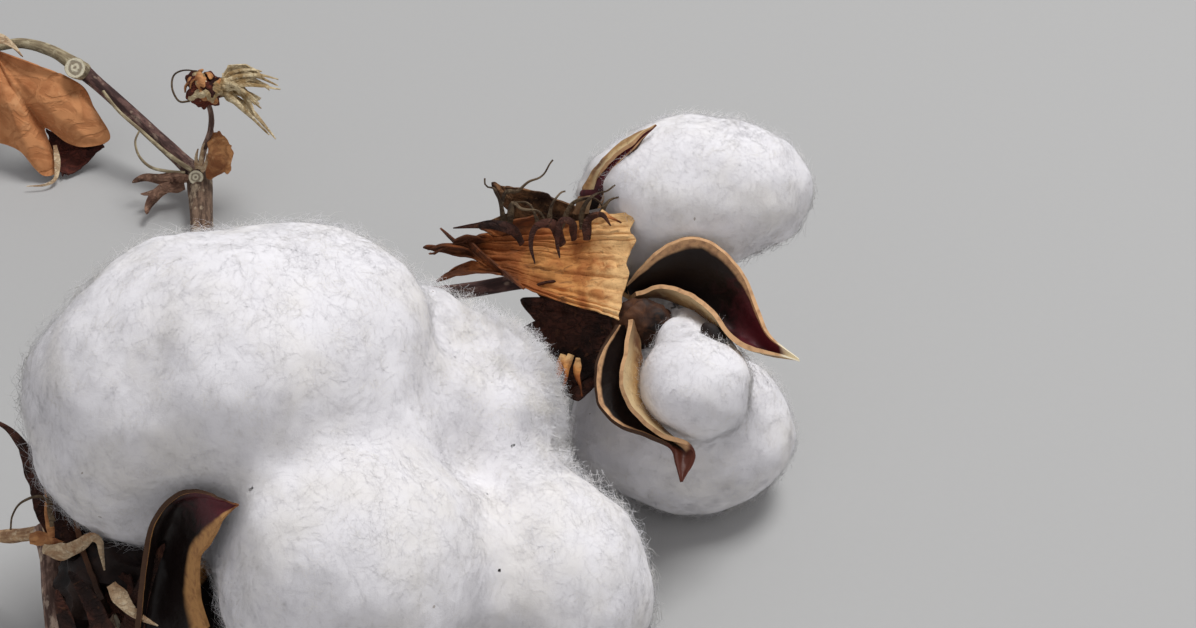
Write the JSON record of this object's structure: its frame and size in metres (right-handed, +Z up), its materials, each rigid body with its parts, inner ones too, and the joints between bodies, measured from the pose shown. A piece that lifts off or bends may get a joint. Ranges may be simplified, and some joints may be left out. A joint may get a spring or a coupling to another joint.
{
  "type": "cut cotton branch with open bolls",
  "caption": "Dry cut branch of a cotton plant lying on its side: a woody stem with open bolls of white fibre, burs, dried bracts, a dead leaf and a dried bud.",
  "frame": {"origin": "middle of the bounding box, on the surface that the branch lies on", "axes": "+Z up from the surface, +Y along the main stem from its flat cut to its fork, +X towards the smaller boll"},
  "size_m": [0.1872, 0.2052, 0.0752],
  "materials": {
    "bark": "dull brown bark with pale corky spots",
    "stalk": "dull grey-brown rind",
    "cut_wood": "pale cut wood with a darker pith",
    "bur": "hard dry bur, near-black and smooth inside, tan along its rims",
    "bract": "thin dry crumpled bract, tan and dark brown",
    "leaf": "dead curled leaf, rust brown",
    "bud": "dried papery bud, straw and dark brown",
    "cotton": "open cotton fibre, matt white"
  },
  "bodies": {
    "root": {"bud_bract": "bud", "bud_stalk": "stalk", "cut_stub": "cut_wood", "dead_leaf": "leaf", "dried_bud": "bud", "leaf_stalk": "stalk", "left_boll_base": "stalk", "left_bract_front": "bract", "left_bract_side": "bract", "left_bract_under": "bract", "left_branch": "bark", "left_lock_behind": "cotton", "left_lock_front": "cotton", "left_lock_right": "cotton", "left_lock_top": "cotton", "left_lock_under": "cotton", "left_stalk": "stalk", "left_twig": "stalk", "left_valve_front": "bur", "left_valve_side": "bur", "left_valve_top": "bur", "left_valve_under": "bur", "main_stem": "bark", "right_boll_base": "stalk", "right_bract_back": "bract", "right_bract_front": "bract", "right_bract_low": "bract", "right_branch": "bark", "right_lock_back": "cotton", "right_lock_low": "cotton", "right_lock_middle": "cotton", "right_lock_top": "cotton", "right_valve_back": "bur", "right_valve_front": "bur", "right_valve_lower": "bur", "right_valve_upper": "bur", "side_stem": "bark", "stem_bract": "leaf"}
  },
  "joints": []
}
